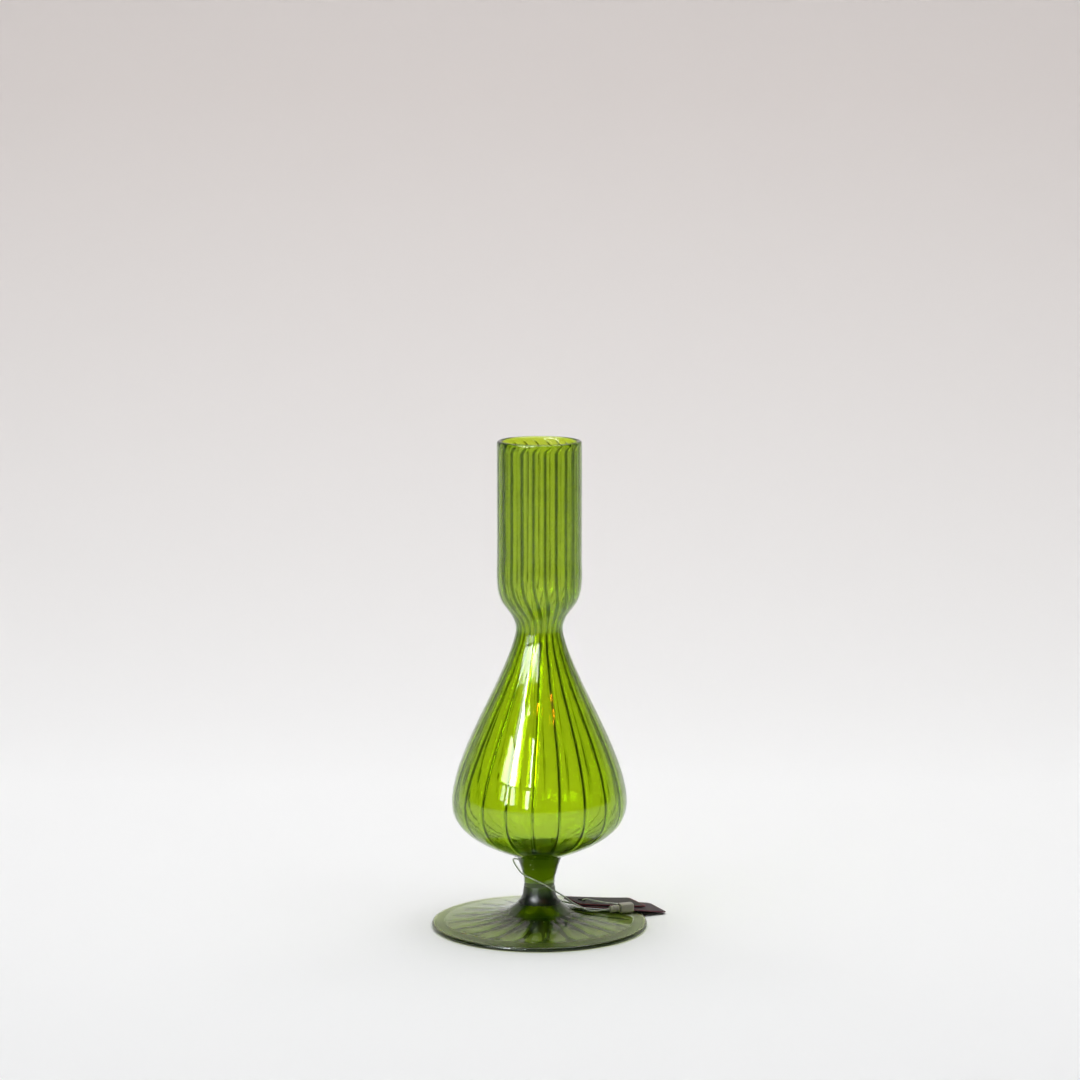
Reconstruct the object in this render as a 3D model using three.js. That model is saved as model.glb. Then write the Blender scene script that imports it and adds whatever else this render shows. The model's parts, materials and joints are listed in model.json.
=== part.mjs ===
// A hand-blown bud vase of green glass: a ribbed bubble with a long belly, a tight waist and a slim cup,
// a solid stem and a ribbed foot, with two shop cards tied round its stem on a nylon thread.
// Millimetres, +Z up. The origin is the centre of the ring that the foot stands on.
import * as THREE from "three";

const { Vector2, Vector3 } = THREE;
const DEG = Math.PI / 180;

// Heights of the glass
const HEIGHT = 158;
const FOOT_JOINT_Z = 13.3; // the foot's flare meets the stem here
const BODY_Z = 23.2; // the stem meets the blown body here
const BELLY_Z = 42; // the belly is widest here
const WAIST_Z = 98.2; // the body is narrowest here
const CUP_BASE_Z = 112.6; // the cup's wall is upright from here to the lip

// Outer radii of the glass
const FOOT_R = 34.9;
const STEM_R = 4.95;
const STEM_TOP_R = 7.3;
const BELLY_R = 28.25;
const WAIST_R = 7.5;
const CUP_R = 13.55;

// Walls
const WALL = 1.6;
const BODY_FLOOR = 1.8;
const FOOT_EDGE = 1.5; // the foot's thickness at its rim
const FOOT_HOLLOW = 1.2; // how far the foot's underside is domed
const REST_RING = 4.2; // the width of the flat ring that the foot stands on

// Ribs left inside the glass by the mould
const RIBS = 20;
const STEPS_PER_RIB = 3;
const RIB_HEIGHT = 0.7;
const FOOT_RIB_HEIGHT = 0.4;
const RIB_AZIMUTH = -81; // a rib of the cup, in degrees from +X
const PLAIN_LIP = 5; // the lip is smooth for this far down
const RIB_RISE = 6; // and the ribs grow over this length below it

// Nylon thread with its lock
const THREAD_D = 0.5;
const THREAD_GAP = 0.15;
const TUBE_STEPS = 76;
const LOCK_LENGTH = 4.5;
const LOCK_WIDTH = 3.4;
const LOCK_HEIGHT = 3.0;
const LOCK_BORE_R = 1.0;
const LOCK_CHAMFER = 0.5;
const LOCK_AT = 26; // from the axis of the vase to the lock's near face, along the cards
const PLUG_R = 1.15;
const PLUG_COLLAR = 3.1;
const PLUG_NOSE = 3.2;
const FIT = 0.3; // clearance between pieces that touch

// Cards
const TAG_AZIMUTH = 23;
const TAG_NEAR = 12.45; // from the axis of the vase to the cards' near edge
const TAG_LENGTH = 32;
const TAG_WIDTH = 13.2;
const TAG_MIDDLE = 3.4; // the cards' middle line is this far to the side of the axis
const PRICE_LENGTH = 26;
const PRICE_WIDTH = 11.2;
const PRICE_TURN = 7.4; // degrees that the upper card has turned on the thread
const CARD = 0.35;
const CARD_CORNER = 1.2;
const HOLE_R = 1.4;
const HOLE_IN = 4; // from a card's near edge to its hole
const TABLE_GAP = 0.4; // between the long card's far end and the table

// The belly's flank as [share of the height from belly to waist, share of the radius still left].
const FLANK = [[0.11, 0.952], [0.3, 0.776], [0.48, 0.556], [0.67, 0.306], [0.82, 0.13], [0.92, 0.036]];
// The cup's underside as [share of the height from waist to upright wall, share of the widening].
const CUP_UNDERSIDE = [[0.2, 0.157], [0.38, 0.446], [0.56, 0.757], [0.74, 0.92]];
// The foot's flare as [share of the way out from stem to rim, share of the height above the rim].
const FLARE = [[0.03, 0.67], [0.1, 0.47], [0.2, 0.31], [0.34, 0.215], [0.5, 0.155], [0.68, 0.095], [0.86, 0.045]];
// The stem as [share of the way up from the foot, share of the widening to the body].
const STEM = [[0.25, 0.02], [0.5, 0.3], [0.65, 0.48], [0.8, 0.72]];
const BELLY_STEPS = 8;
const BELLY_FULLNESS = 2.65; // the power that rounds the belly's underside
const SEGMENTS = RIBS * STEPS_PER_RIB;

const glass = { color: 0x86a818, roughness: 0.05, metalness: 0, transparent: true, opacity: 0.6 };
const nylon = { color: 0xd6d8c4, roughness: 0.35, metalness: 0 };
const vase = new THREE.Group();

function addPiece(parent, name, geometry, look) {
  const mesh = new THREE.Mesh(geometry, new THREE.MeshStandardMaterial(look));
  mesh.name = name;
  parent.add(mesh);
  return mesh;
}

// A point between two ends, each of them [radius, height], by one share for each.
function between([r0, z0], [r1, z1], across, up) {
  return new Vector2(r0 + (r1 - r0) * across, z0 + (z1 - z0) * up);
}

// Turns an outline of (radius, height) about +Z. A ridge height for each of its points raises the point by
// that much on every rib, along the direction given for it, and a twist turns it, in degrees.
function turned(outline, ridges = [], directions = [], twists = []) {
  const geometry = new THREE.LatheGeometry(outline, SEGMENTS);
  const place = geometry.getAttribute("position");
  const corner = new Vector2();
  for (let i = 0; i < place.count; i += 1) {
    const row = i % outline.length;
    const column = Math.floor(i / outline.length) % SEGMENTS;
    corner.copy(outline[row]);
    if (ridges[row] && column % STEPS_PER_RIB === 0) corner.addScaledVector(directions[row], ridges[row]);
    const azimuth = (RIB_AZIMUTH + (twists[row] ?? 0) + (360 * column) / SEGMENTS) * DEG;
    place.setXYZ(i, corner.x * Math.cos(azimuth), corner.x * Math.sin(azimuth), corner.y);
  }
  return geometry;
}

// Unit normals of an outline, to the left of its direction.
function normalsOf(outline) {
  return outline.map((_, i) => {
    const before = outline[Math.max(i - 1, 0)];
    const after = outline[Math.min(i + 1, outline.length - 1)];
    const along = after.clone().sub(before).normalize();
    return new Vector2(-along.y, along.x);
  });
}

// Blown body
function bodyOutside() {
  const belly = [];
  for (let i = 0; i <= BELLY_STEPS; i += 1) {
    const up = 1 - Math.cos((Math.PI / 2) * (i / BELLY_STEPS));
    const across = 1 - (1 - up) ** BELLY_FULLNESS;
    belly.push(between([STEM_TOP_R, BODY_Z], [BELLY_R, BELLY_Z], across, up));
  }
  const flank = FLANK.map(([up, left]) => between([WAIST_R, BELLY_Z], [BELLY_R, WAIST_Z], left, up));
  const underside = CUP_UNDERSIDE.map(([up, out]) =>
    between([WAIST_R, WAIST_Z], [CUP_R, CUP_BASE_Z], out, up));
  const wall = [
    new Vector2(CUP_R, CUP_BASE_Z),
    new Vector2(CUP_R, HEIGHT - PLAIN_LIP - RIB_RISE),
    new Vector2(CUP_R, HEIGHT - PLAIN_LIP),
    new Vector2(CUP_R, HEIGHT - WALL / 2),
  ];
  return [...belly, ...flank, new Vector2(WAIST_R, WAIST_Z), ...underside, ...wall];
}

function ribHeight(z) {
  return RIB_HEIGHT * THREE.MathUtils.clamp((HEIGHT - PLAIN_LIP - z) / RIB_RISE, 0, 1);
}

// The ribs lean as the bubble was swung: little in the belly, most of it in the neck, none in the cup.
function twistAt(z) {
  const neck = THREE.MathUtils.clamp((CUP_BASE_Z - z) / (CUP_BASE_Z - WAIST_Z), 0, 1);
  const belly = THREE.MathUtils.clamp((WAIST_Z - z) / (WAIST_Z - BELLY_Z), 0, 1);
  return 16 * neck - 11 * Math.sqrt(belly);
}

function blownBody() {
  const outside = bodyOutside();
  const inward = normalsOf(outside);
  const inside = outside.map((p, i) => p.clone().addScaledVector(inward[i], WALL));
  const floorZ = BODY_Z + BODY_FLOOR;
  const hollow = inside.filter((p) => p.y > floorZ + WALL / 4);
  const directions = inward.filter((_, i) => inside[i].y > floorZ + WALL / 4);
  const lip = new Vector2(CUP_R - WALL / 2, HEIGHT);
  const outline = [new Vector2(0, BODY_Z), ...outside, lip, ...hollow.toReversed(), new Vector2(0, floorZ)];
  const still = new Vector2(0, 0);
  const leans = [still, ...outside.map(() => still), still, ...directions.toReversed(), still];
  const first = outside.length + 2;
  const ridges = outline.map((p, i) => (i >= first && p.x > 0 ? ribHeight(p.y) : 0));
  return turned(outline, ridges, leans, outline.map((p) => twistAt(p.y)));
}

addPiece(vase, "ribbed_body", blownBody(), glass);

// Stem
function stem() {
  const side = STEM.map(([up, out]) => between([STEM_R, FOOT_JOINT_Z], [STEM_TOP_R, BODY_Z], out, up));
  return turned([
    new Vector2(0, FOOT_JOINT_Z),
    new Vector2(STEM_R, FOOT_JOINT_Z),
    ...side,
    new Vector2(STEM_TOP_R, BODY_Z),
    new Vector2(0, BODY_Z),
  ]);
}

addPiece(vase, "stem", stem(), { ...glass, color: 0x4d6a10 });

// Foot
function footTop() {
  const rim = [FOOT_R - FOOT_EDGE / 2, FOOT_EDGE];
  const flare = FLARE.map(([out, up]) => between([STEM_R, FOOT_EDGE], [rim[0], FOOT_JOINT_Z], out, up));
  return [new Vector2(STEM_R, FOOT_JOINT_Z), ...flare, new Vector2(...rim)];
}

// The height of the foot's upper side at a radius, along the straight pieces of its outline.
function footTopAt(radius) {
  const top = footTop();
  const next = top.findIndex((p) => p.x >= radius);
  if (next < 0) return FOOT_EDGE;
  if (next === 0) return FOOT_JOINT_Z;
  const share = (radius - top[next - 1].x) / (top[next].x - top[next - 1].x);
  return THREE.MathUtils.lerp(top[next - 1].y, top[next].y, share);
}

function foot() {
  const ringOut = FOOT_R - FOOT_EDGE / 2;
  const ringIn = ringOut - REST_RING;
  const underside = [
    new Vector2(0, FOOT_HOLLOW),
    new Vector2(ringIn * 0.3, FOOT_HOLLOW),
    new Vector2(ringIn * 0.65, FOOT_HOLLOW * 0.8),
    new Vector2(ringIn * 0.9, FOOT_HOLLOW * 0.35),
    new Vector2(ringIn, 0),
    new Vector2(ringOut, 0),
  ];
  const top = footTop();
  const outline = [...underside, new Vector2(FOOT_R, FOOT_EDGE / 2), ...top.toReversed()];
  outline.push(new Vector2(0, FOOT_JOINT_Z));
  const down = new Vector2(0, -1);
  const ridges = outline.map((_, i) => (i === 2 || i === 3 ? Math.min(FOOT_RIB_HEIGHT, outline[i].y * 0.8) : 0));
  return turned(outline, ridges, outline.map(() => down));
}

addPiece(vase, "ribbed_foot", foot(), { ...glass, color: 0x9aae58 });

// Cards, laid from the thread over the foot's edge down to the table
const nearZ = footTopAt(TAG_NEAR) + THREAD_D + 2 * THREAD_GAP;
const overEdge = (nearZ - FOOT_EDGE - FIT) / (FOOT_R - TAG_NEAR);
const toTable = (nearZ - TABLE_GAP) / TAG_LENGTH;
const slope = Math.min(overEdge, toTable);

function card(length, width) {
  const near = -HOLE_IN;
  const far = length - HOLE_IN;
  const side = width / 2;
  const c = CARD_CORNER;
  const outline = new THREE.Shape();
  outline.absarc(far - c, side - c, c, 0, Math.PI / 2);
  outline.absarc(near + c, side - c, c, Math.PI / 2, Math.PI);
  outline.absarc(near + c, c - side, c, Math.PI, 1.5 * Math.PI);
  outline.absarc(far - c, c - side, c, 1.5 * Math.PI, 2 * Math.PI);
  const hole = new THREE.Path();
  hole.absarc(0, 0, HOLE_R, 0, 2 * Math.PI);
  outline.holes.push(hole);
  return new THREE.ExtrudeGeometry(outline, { depth: CARD, bevelEnabled: false, curveSegments: 5 });
}

const tagFrame = new THREE.Group();
tagFrame.rotation.set(0, Math.atan(slope), TAG_AZIMUTH * DEG, "ZYX");
const holeAlong = TAG_NEAR + HOLE_IN;
const turn = TAG_AZIMUTH * DEG;
tagFrame.position.set(
  holeAlong * Math.cos(turn) - TAG_MIDDLE * Math.sin(turn),
  holeAlong * Math.sin(turn) + TAG_MIDDLE * Math.cos(turn),
  nearZ - slope * HOLE_IN,
);
vase.add(tagFrame);

addPiece(tagFrame, "swing_card", card(TAG_LENGTH, TAG_WIDTH), { color: 0x4a3a3e, roughness: 0.5 });
const priceCard = addPiece(tagFrame, "price_card", card(PRICE_LENGTH, PRICE_WIDTH), {
  color: 0x5a2830,
  roughness: 0.5,
});
priceCard.position.z = CARD + FIT;
priceCard.rotation.z = PRICE_TURN * DEG;

// Thread lock: a moulded block with a bore, and the plug snapped into it
const lockSide = TAG_WIDTH / 2 - TAG_MIDDLE + FIT + LOCK_WIDTH / 2 + 0.2;
const lockFrame = new THREE.Group();
lockFrame.rotation.z = turn;
lockFrame.position.set(
  LOCK_AT * Math.cos(turn) + lockSide * Math.sin(turn),
  LOCK_AT * Math.sin(turn) - lockSide * Math.cos(turn),
  footTopAt(LOCK_AT - PLUG_COLLAR) + PLUG_R + FIT,
);
vase.add(lockFrame);

function lockBlock() {
  const [w, h, c] = [LOCK_WIDTH / 2, LOCK_HEIGHT / 2, LOCK_CHAMFER];
  const quarter = [[w, c - h], [w, h - c], [w - c, h], [c - w, h]];
  const corners = [...quarter, ...quarter.map(([x, y]) => [-x, -y])];
  const outline = new THREE.Shape(corners.map(([x, y]) => new Vector2(x, y)));
  const bore = new THREE.Path();
  bore.absarc(0, 0, LOCK_BORE_R, 0, 2 * Math.PI);
  outline.holes.push(bore);
  const geometry = new THREE.ExtrudeGeometry(outline, {
    depth: LOCK_LENGTH,
    bevelEnabled: false,
    curveSegments: 6,
  });
  return geometry.rotateZ(Math.PI / 2).rotateY(Math.PI / 2);
}

function lockPlug() {
  const noseR = LOCK_BORE_R - FIT;
  const outline = [
    new Vector2(0, -PLUG_COLLAR),
    new Vector2(PLUG_R * 0.6, -PLUG_COLLAR),
    new Vector2(PLUG_R, -PLUG_COLLAR * 0.8),
    new Vector2(PLUG_R, -PLUG_COLLAR * 0.2),
    new Vector2(PLUG_R * 0.8, 0),
    new Vector2(noseR * 0.8, 0),
    new Vector2(noseR * 0.8, PLUG_NOSE * 0.6),
    new Vector2(noseR, PLUG_NOSE * 0.65),
    new Vector2(noseR * 0.5, PLUG_NOSE),
    new Vector2(0, PLUG_NOSE),
  ];
  return new THREE.LatheGeometry(outline, 16).rotateZ(-Math.PI / 2).translate(-FIT, 0, 0);
}

addPiece(lockFrame, "lock_block", lockBlock(), { ...nylon, color: 0xc9bfa6 });
addPiece(lockFrame, "lock_plug", lockPlug(), nylon);

// Thread: from the plug up round the stem, down behind it, up through the cards and back to the block
const THREAD_ROUTE = [
  [22.65, 3.75, 4.35], [20.6, 2.85, 4.3], [18.3, 1.6, 4.3], [16.0, 0.3, 4.8], [13.6, -1.2, 6.2],
  [11.1, -2.7, 8.0], [8.6, -4.2, 10.1], [6.2, -5.3, 11.9], [3.8, -5.9, 13.5], [1.2, -5.8, 15.1],
  [-1.5, -5.5, 16.3], [-4.1, -4.3, 17.2], [-5.9, -1.7, 17.8], [-7.0, 1.0, 18.6], [-8.2, 3.8, 19.8],
  [-8.4, 6.8, 20.3], [-6.6, 9.6, 19.5], [-3.6, 11.4, 17.2], [-0.6, 12.4, 14.1], [1.8, 12.8, 10.8],
  [3.7, 12.8, 7.8], [5.5, 12.5, 5.7], [7.4, 11.9, 4.95], [9.3, 11.2, 4.7], [11.0, 10.5, 4.5],
  [12.4, 10.0, 4.35], [13.35, 9.75, 4.5], [13.85, 9.5, 5.3], [14.3, 9.25, 6.1], [15.4, 8.8, 6.4],
  [17.2, 8.4, 6.15], [19.6, 8.1, 5.75], [22.2, 8.2, 5.35], [24.6, 8.6, 4.95], [26.3, 8.75, 4.65],
  [27.45, 8.0, 4.4],
].map((p) => new Vector3(...p));

function thread() {
  const path = new THREE.CatmullRomCurve3(THREAD_ROUTE, false, "centripetal");
  const section = new THREE.Shape();
  for (let i = 0; i < 8; i += 1) {
    const angle = (i * Math.PI) / 4;
    section[i ? "lineTo" : "moveTo"]((THREAD_D / 2) * Math.cos(angle), (THREAD_D / 2) * Math.sin(angle));
  }
  return new THREE.ExtrudeGeometry(section, { steps: TUBE_STEPS, extrudePath: path, bevelEnabled: false });
}

addPiece(vase, "thread", thread(), nylon);

export default vase;
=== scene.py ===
"""A ribbed bud vase of hot-worked green glass, with two shop cards tied round its stem.

Every piece is a surface worked out over two parameters with numpy, in metres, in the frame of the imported
model. The glass is a clear surface with an absorbing volume, so thick glass comes out dark by itself.
"""

import json
import logging
import math
from dataclasses import dataclass
from enum import Enum

import bpy
import numpy as np
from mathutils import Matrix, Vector


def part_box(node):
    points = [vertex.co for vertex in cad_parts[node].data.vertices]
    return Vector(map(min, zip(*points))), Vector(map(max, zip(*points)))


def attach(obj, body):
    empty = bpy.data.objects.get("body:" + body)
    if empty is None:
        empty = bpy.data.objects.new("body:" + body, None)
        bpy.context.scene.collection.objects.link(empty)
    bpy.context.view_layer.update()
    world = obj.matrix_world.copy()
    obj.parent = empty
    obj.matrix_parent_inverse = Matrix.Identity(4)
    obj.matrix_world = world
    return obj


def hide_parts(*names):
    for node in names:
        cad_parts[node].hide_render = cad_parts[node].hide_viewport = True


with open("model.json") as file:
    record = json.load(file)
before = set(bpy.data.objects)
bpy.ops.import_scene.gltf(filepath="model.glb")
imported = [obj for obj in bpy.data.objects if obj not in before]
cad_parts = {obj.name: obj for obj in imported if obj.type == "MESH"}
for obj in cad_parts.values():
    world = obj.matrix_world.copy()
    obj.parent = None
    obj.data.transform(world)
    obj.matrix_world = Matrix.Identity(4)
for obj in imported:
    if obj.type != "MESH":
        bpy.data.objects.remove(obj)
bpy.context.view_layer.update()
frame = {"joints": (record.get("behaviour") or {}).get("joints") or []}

MM = 0.001
TAU = 2 * math.pi
SPAN_STEPS = 40  # Points worked out along each span of a smooth curve, before they are spaced evenly.
FLOW_DRAW = 1.2  # How far the drawn lines' texture runs for each metre along the glass.
log = logging.getLogger("bud_vase")


# ---- lines and grids


def smooth_curve(points: np.ndarray, count: int) -> np.ndarray:
    """Run a smooth curve through points and space it evenly.

    Each span is a cubic Hermite curve whose tangent at a point is that of the parabola through it and its
    two neighbours, with the chords' lengths as the parameter.

    Args:
        points: The points to pass through, one a row.
        count: How many points to return.

    Returns:
        The evenly spaced points, one a row.
    """
    points = np.asarray(points, float)
    steps = np.diff(points, axis=0)
    chord = np.linalg.norm(steps, axis=1)[:, None]
    slope = steps / chord
    inner = (slope[:-1] * chord[1:] + slope[1:] * chord[:-1]) / (chord[:-1] + chord[1:])
    tangent = np.vstack([slope[:1], inner, slope[-1:]])
    t = np.linspace(0, 1, SPAN_STEPS, endpoint=False)[None, :, None]
    a, b = points[:-1, None], points[1:, None]
    ta, tb = (tangent[:-1] * chord)[:, None], (tangent[1:] * chord)[:, None]
    fine = (
        (2 * t**3 - 3 * t**2 + 1) * a
        + (t**3 - 2 * t**2 + t) * ta
        + (3 * t**2 - 2 * t**3) * b
        + (t**3 - t**2) * tb
    )
    return respaced(np.vstack([fine.reshape(-1, points.shape[1]), points[-1:]]), count)


def respaced(line: np.ndarray, count: int) -> np.ndarray:
    """Space a polyline's points evenly along its length.

    Args:
        line: The polyline's points, one a row.
        count: How many points to return.

    Returns:
        The evenly spaced points, one a row.
    """
    along = np.concatenate([[0], np.cumsum(np.linalg.norm(np.diff(line, axis=0), axis=1))])
    at = np.linspace(0, along[-1], count)
    return np.stack([np.interp(at, along, axis) for axis in line.T], axis=1)


def straight(a: tuple, b: tuple, count: int) -> np.ndarray:
    """Points from a up to but not including b, evenly spaced."""
    share = np.linspace(0, 1, count, endpoint=False)[:, None]
    return np.asarray(a, float) * (1 - share) + np.asarray(b, float) * share


def arc(middle: tuple, radius: float, start: float, end: float, count: int) -> np.ndarray:
    """Points round a circle, with angles in degrees."""
    angle = np.radians(np.linspace(start, end, count))
    return np.asarray(middle) + radius * np.stack([np.cos(angle), np.sin(angle)], axis=1)


def left_normals(line: np.ndarray) -> np.ndarray:
    """Find a flat line's unit normals, to the left of its direction.

    Args:
        line: The line's points, one a row.

    Returns:
        A unit normal for each point.
    """
    along = np.gradient(line, axis=0)
    along /= np.linalg.norm(along, axis=1)[:, None]
    return np.stack([-along[:, 1], along[:, 0]], axis=1)


def ease(x: np.ndarray, low: float, high: float) -> np.ndarray:
    """A smooth step from 0 at low to 1 at high."""
    t = np.clip((x - low) / (high - low), 0, 1)
    return t * t * (3 - 2 * t)


def about_z(angle: float) -> np.ndarray:
    """The matrix that turns a place about Z by an angle in radians."""
    cos, sin = math.cos(angle), math.sin(angle)
    return np.array([[cos, -sin, 0], [sin, cos, 0], [0, 0, 1]])


@dataclass
class Surface:
    """A closed grid of points with the faces between them.

    Rows run so that, seen from outside, the columns go anticlockwise about the direction of the rows.

    Attributes:
        points: Rows by columns by 3, in metres. The columns close on themselves.
        ring: Whether the rows close on themselves too. Otherwise the first and last row are poles.
        flow: A texture place for each point, of the same shape, that follows the surface.
        rib: A mark that the finish reads, from 0 to 1, rows by columns. On the body it is how near a point
        is to the ridge of a rib, where the finish paints a dark line of shade, and on the foot it is where
        the glass is frosted.
    """

    points: np.ndarray
    ring: bool = False
    flow: np.ndarray | None = None
    rib: np.ndarray | None = None

    def _flat(self, grid: np.ndarray) -> np.ndarray:
        """A grid's points in a list, with one point for each pole."""
        if self.ring:
            return grid.reshape(-1, grid.shape[-1])
        return np.vstack([grid[1:-1].reshape(-1, grid.shape[-1]), grid[0, 0], grid[-1, 0]])

    def to_mesh(self, name: str, sharp: float = 50) -> bpy.types.Mesh:
        """Write the grid into a mesh whose faces point out.

        Args:
            name: The mesh's name.
            sharp: The angle between two faces, in degrees, past which their edge is a hard one.

        Returns:
            The mesh, with the texture place and the mark as attributes where the surface has them.
        """
        rows, cols, _ = self.points.shape
        rows -= 0 if self.ring else 2
        index = np.arange(rows * cols).reshape(rows, cols)
        low, high = (index, np.roll(index, -1, 0)) if self.ring else (index[:-1], index[1:])
        faces = np.stack([low, np.roll(low, -1, 1), np.roll(high, -1, 1), high], axis=-1)
        faces = faces.reshape(-1, 4).tolist()
        if not self.ring:
            first, last = np.full(cols, rows * cols), np.full(cols, rows * cols + 1)
            faces += np.stack([first, np.roll(index[0], -1), index[0]], axis=-1).tolist()
            faces += np.stack([last, index[-1], np.roll(index[-1], -1)], axis=-1).tolist()
        mesh = bpy.data.meshes.new(name)
        mesh.from_pydata(self._flat(self.points).tolist(), [], faces)
        mesh.polygons.foreach_set("use_smooth", np.ones(len(mesh.polygons), bool))
        mesh.set_sharp_from_angle(angle=math.radians(sharp))
        if self.flow is not None:
            flow = mesh.attributes.new("flow", "FLOAT_VECTOR", "POINT")
            flow.data.foreach_set("vector", self._flat(self.flow).astype(np.float32).ravel())
        if self.rib is not None:
            rib = mesh.attributes.new("rib", "FLOAT", "POINT")
            rib.data.foreach_set("value", self._flat(self.rib[..., None]).astype(np.float32).ravel())
        mesh.update()
        return mesh


def turned(outline: np.ndarray, azimuth: np.ndarray) -> np.ndarray:
    """Turn outlines about the vertical axis.

    Args:
        outline: Rows by columns by 2, each the radius and height, or rows by 1 by 2 for a plain turning.
        azimuth: Rows by columns, in radians from +X.

    Returns:
        Rows by columns by 3.
    """
    radius, height = outline[..., 0], outline[..., 1]
    return np.stack([radius * np.cos(azimuth), radius * np.sin(azimuth), height + 0 * azimuth], axis=-1)


def drawn_flow(along: np.ndarray, angle: np.ndarray) -> np.ndarray:
    """Lay texture places on a drum of radius 1, so that a pattern is drawn out along the glass.

    Args:
        along: How far along the glass each row is, in metres.
        angle: Each column's angle round the vase, in radians.

    Returns:
        Rows by columns by 3.
    """
    drum = np.stack([np.ones((len(along), 1)), along[:, None] * FLOW_DRAW], axis=-1)
    return turned(drum, angle[None, :])


def piece(
    name: str, data: bpy.types.Mesh | bpy.types.Curve, material: bpy.types.Material
) -> bpy.types.Object:
    """Put a mesh or curve into the scene as a piece at the origin.

    Args:
        name: The piece's name.
        data: Its mesh or curve, with its place in it.
        material: Its only material.

    Returns:
        The piece.
    """
    made = bpy.data.objects.new(name, data)
    bpy.context.scene.collection.objects.link(made)
    made.data.materials.append(material)
    log.info("made %s", name)
    return made


# ---- shader maths


class Wire:
    """A shader value that Python's operators add Math nodes to."""

    def __init__(self, shader: "Shader", socket: bpy.types.NodeSocket) -> None:
        """Keep the node tree and the socket that holds the value."""
        self.shader, self.socket = shader, socket

    def _math(self, operation: str, *values: object) -> "Wire":
        """Add one Math node."""
        return self.shader.node("ShaderNodeMath", {"operation": operation}, dict(enumerate(values)))

    def __add__(self, other: object) -> "Wire":
        """Sum."""
        return self._math("ADD", self, other)

    def __mul__(self, other: object) -> "Wire":
        """Product."""
        return self._math("MULTIPLY", self, other)

    def __pow__(self, other: object) -> "Wire":
        """Power."""
        return self._math("POWER", self, other)

    __radd__, __rmul__ = __add__, __mul__


class Shader:
    """One material's node tree."""

    def __init__(self, name: str) -> None:
        """Start an empty material.

        Args:
            name: The material's name.
        """
        self.material = bpy.data.materials.new(name)
        self.material.use_nodes = True
        self.tree = self.material.node_tree
        self.tree.nodes.clear()
        self.output = self.tree.nodes.new("ShaderNodeOutputMaterial")

    def node(
        self, kind: str, settings: dict | None = None, inputs: dict | None = None, out: object = 0
    ) -> Wire:
        """Add a node.

        Args:
            kind: The node's type.
            settings: Its own properties, which are set first.
            inputs: Values or Wires by socket name or number.
            out: The output to return, by name or number.

        Returns:
            The output, as a Wire.
        """
        made = self.tree.nodes.new(kind)
        for key, value in (settings or {}).items():
            setattr(made, key, value)
        for key, value in (inputs or {}).items():
            if isinstance(value, Wire):
                self.tree.links.new(value.socket, made.inputs[key])
            else:
                made.inputs[key].default_value = value
        return Wire(self, made.outputs[out])

    def place(self) -> Wire:
        """The place in the object's own frame, which is the model's frame."""
        return self.node("ShaderNodeTexCoord", out="Object")

    def flow(self) -> Wire:
        """The place that follows the surface."""
        return self.node("ShaderNodeAttribute", {"attribute_name": "flow"}, out="Vector")

    def noise(
        self, scale: float, detail: float = 2, roughness: float = 0.5, place: Wire | None = None
    ) -> Wire:
        """Add noise.

        Args:
            scale: How many waves there are to a unit of the place.
            detail: How many finer layers are added.
            roughness: How strong each layer is beside the one before it.
            place: Where the noise is read, which is the place in the model's frame unless given.

        Returns:
            The noise, from 0 to 1.
        """
        inputs = {"Vector": place or self.place(), "Scale": scale, "Detail": detail, "Roughness": roughness}
        return self.node("ShaderNodeTexNoise", {}, inputs)

    def mix(self, share: Wire, low: tuple | Wire, high: tuple) -> Wire:
        """Mix two colours.

        Args:
            share: How much of the second there is.
            low: The first colour, or a Wire that holds it.
            high: The second colour.

        Returns:
            The colour between them.
        """
        factor, first, second, result = 0, 6, 7, 2  # The colour mix's sockets, which share their names.
        inputs = {factor: share, first: low if isinstance(low, Wire) else (*low, 1), second: (*high, 1)}
        return self.node("ShaderNodeMix", {"data_type": "RGBA"}, inputs, result)

    def bump(self, height: Wire, depth: float, normal: Wire | None = None) -> Wire:
        """Raise a relief.

        Args:
            height: The relief, from 0 to 1.
            depth: How high 1 stands, in metres.
            normal: A relief that this one lies on.

        Returns:
            The bumped normal.
        """
        inputs = {"Height": height, "Distance": depth}
        if normal:
            inputs["Normal"] = normal
        return self.node("ShaderNodeBump", {}, inputs)

    def principled(self, **inputs: object) -> Wire:
        """A Principled shader, with spaces in socket names written as underscores."""
        values = {key.replace("_", " "): value for key, value in inputs.items()}
        return self.node("ShaderNodeBsdfPrincipled", {}, values)

    def finish(self, surface: Wire, volume: Wire | None = None) -> bpy.types.Material:
        """Join the surface and the volume to the output.

        Args:
            surface: The surface's shader.
            volume: The volume's shader, if it has one.

        Returns:
            The material.
        """
        self.tree.links.new(surface.socket, self.output.inputs["Surface"])
        if volume:
            self.tree.links.new(volume.socket, self.output.inputs["Volume"])
        return self.material


# ---- finishes


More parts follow.
